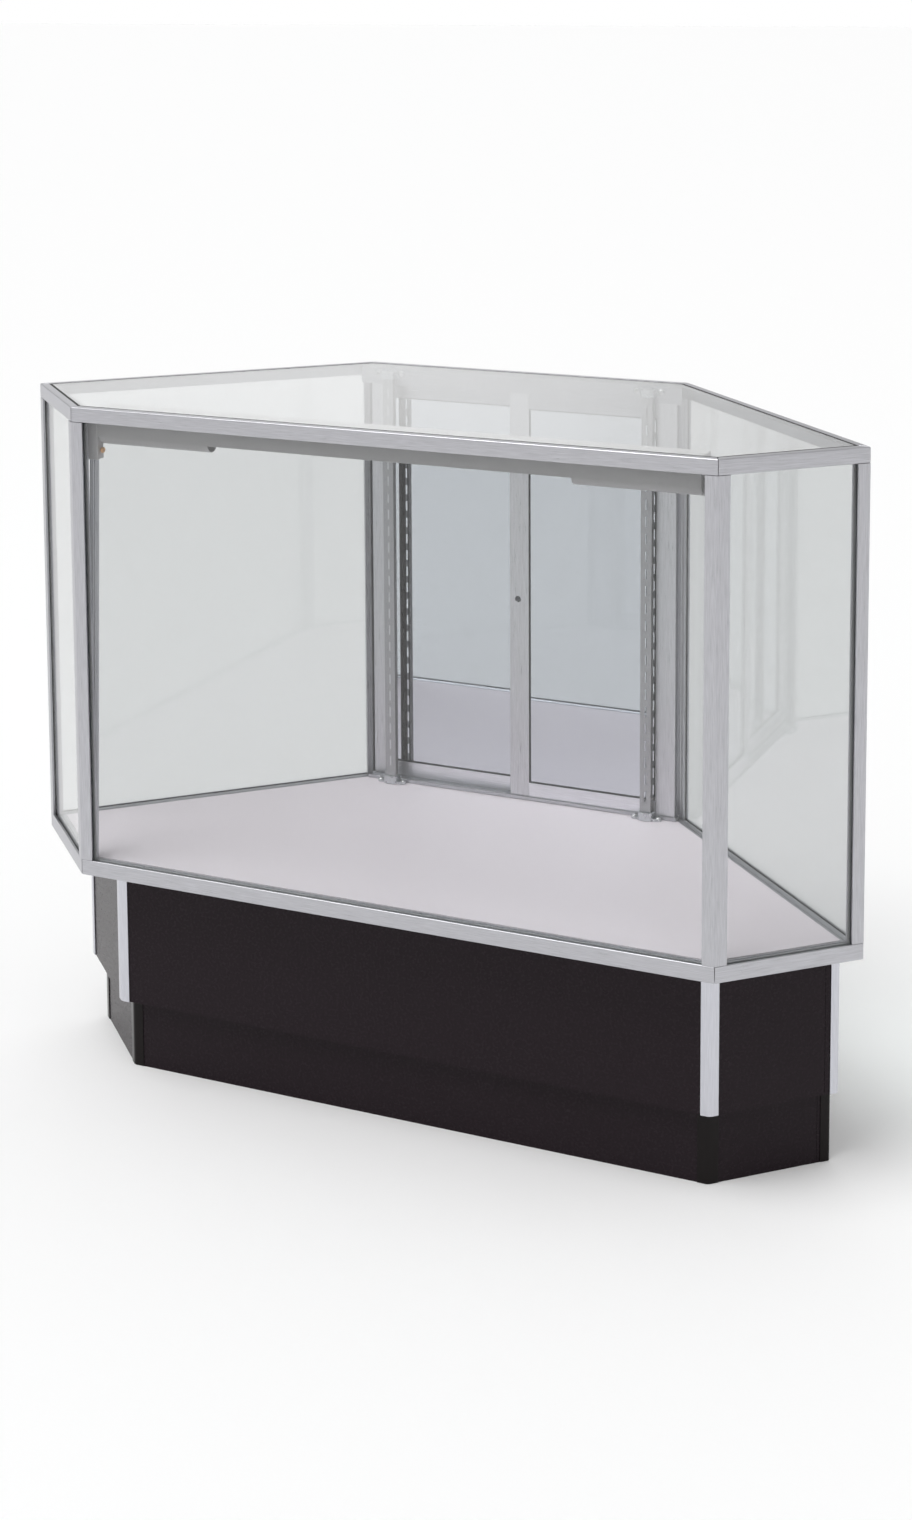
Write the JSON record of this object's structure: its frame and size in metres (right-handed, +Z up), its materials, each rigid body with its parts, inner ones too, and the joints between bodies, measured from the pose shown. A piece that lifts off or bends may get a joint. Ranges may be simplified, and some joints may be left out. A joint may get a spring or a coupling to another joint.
{
  "type": "corner display showcase",
  "caption": "Floor-standing corner showcase with a six-sided plan: framed glass case on a set-back base, mirrored sliding doors behind, a lamp housing under the top",
  "frame": {"origin": "on the floor, under the middle of the bounding box", "axes": "+X to the right as a customer sees it, +Y from the long front to the clerk's side, +Z up"},
  "size_m": [1.2192, 0.508, 0.9652],
  "materials": {
    "frame_aluminium": "satin anodised, fine lengthwise brushing, bright arrises",
    "glass": "clear float glass, faintly green at its edges",
    "deck_melamine": "off-white melamine on particle board, satin",
    "black_laminate": "black laminate on particle board, satin with a fine pebble",
    "mirror": "silvered mirror",
    "zinc_steel": "bright zinc-plated steel",
    "light_enamel": "grey satin enamel",
    "nylon": "white nylon",
    "lock_chrome": "chrome plate"
  },
  "bodies": {
    "case": {"back_panel": "black_laminate", "base_panel_front": "black_laminate", "base_panel_front_left": "black_laminate", "base_panel_front_right": "black_laminate", "conduit_connector": "light_enamel", "corner_trim_front_left": "frame_aluminium", "corner_trim_front_right": "frame_aluminium", "corner_trim_left": "frame_aluminium", "corner_trim_right": "frame_aluminium", "deck_panel": "deck_melamine", "deck_rail_back": "frame_aluminium", "deck_rail_front": "frame_aluminium", "deck_rail_front_left": "frame_aluminium", "deck_rail_front_right": "frame_aluminium", "deck_rail_side_left": "frame_aluminium", "deck_rail_side_right": "frame_aluminium", "front_glass": "glass", "front_left_glass": "glass", "front_right_glass": "glass", "light_cover_left": "light_enamel", "light_cover_right": "light_enamel", "light_housing": "light_enamel", "lower_track": "frame_aluminium", "post_back_left": "frame_aluminium", "post_back_right": "frame_aluminium", "post_front_left": "frame_aluminium", "post_front_right": "frame_aluminium", "post_left": "frame_aluminium", "post_right": "frame_aluminium", "shelf_standard_left": "zinc_steel", "shelf_standard_right": "zinc_steel", "side_left_glass": "glass", "side_panel_left": "black_laminate", "side_panel_right": "black_laminate", "side_right_glass": "glass", "standard_clip_lower_left": "zinc_steel", "standard_clip_lower_right": "zinc_steel", "standard_clip_upper_left": "zinc_steel", "standard_clip_upper_right": "zinc_steel", "toe_kick_front": "black_laminate", "toe_kick_front_left": "black_laminate", "toe_kick_front_right": "black_laminate", "top_glass": "glass", "top_rail_back": "frame_aluminium", "top_rail_front": "frame_aluminium", "top_rail_front_left": "frame_aluminium", "top_rail_front_right": "frame_aluminium", "top_rail_side_left": "frame_aluminium", "top_rail_side_right": "frame_aluminium", "upper_track": "frame_aluminium", "wiring_conduit": "frame_aluminium"},
    "outer_door": {"outer_door_frame": "frame_aluminium", "outer_door_mirror": "mirror"},
    "inner_door": {"inner_door_frame": "frame_aluminium", "inner_door_mirror": "mirror"},
    "lock": {"lock_plug": "lock_chrome"},
    "outer_roller_left": {"outer_door_roller_left": "nylon"},
    "outer_roller_right": {"outer_door_roller_right": "nylon"},
    "inner_roller_left": {"inner_door_roller_left": "nylon"},
    "inner_roller_right": {"inner_door_roller_right": "nylon"}
  },
  "joints": [
    {"name": "outer_door_slide", "type": "slide", "parent": "case", "child": "outer_door", "axis": [1, 0, 0], "range_m": [0, 0.224]},
    {"name": "inner_door_slide", "type": "slide", "parent": "case", "child": "inner_door", "axis": [-1, 0, 0], "range_m": [0, 0.229]},
    {"name": "lock_turn", "type": "hinge", "parent": "outer_door", "child": "lock", "pos_m": [0, 0.2426, 0.6305], "axis": [0, 1, 0], "range_deg": [0, 90]},
    {"name": "outer_roller_left_spin", "type": "hinge", "parent": "outer_door", "child": "outer_roller_left", "pos_m": [-0.19899, 0.2426, 0.3334], "axis": [0, 1, 0], "continuous": true},
    {"name": "outer_roller_right_spin", "type": "hinge", "parent": "outer_door", "child": "outer_roller_right", "pos_m": [-0.033, 0.2426, 0.3334], "axis": [0, 1, 0], "continuous": true},
    {"name": "inner_roller_left_spin", "type": "hinge", "parent": "inner_door", "child": "inner_roller_left", "pos_m": [0.033, 0.2274, 0.3334], "axis": [0, 1, 0], "continuous": true},
    {"name": "inner_roller_right_spin", "type": "hinge", "parent": "inner_door", "child": "inner_roller_right", "pos_m": [0.19899, 0.2274, 0.3334], "axis": [0, 1, 0], "continuous": true}
  ],
  "couplings": [
    {"joint": "outer_roller_left_spin", "follows": "outer_door_slide", "rad_per_m": 200},
    {"joint": "outer_roller_right_spin", "follows": "outer_door_slide", "rad_per_m": 200},
    {"joint": "inner_roller_left_spin", "follows": "inner_door_slide", "rad_per_m": -200},
    {"joint": "inner_roller_right_spin", "follows": "inner_door_slide", "rad_per_m": -200}
  ]
}
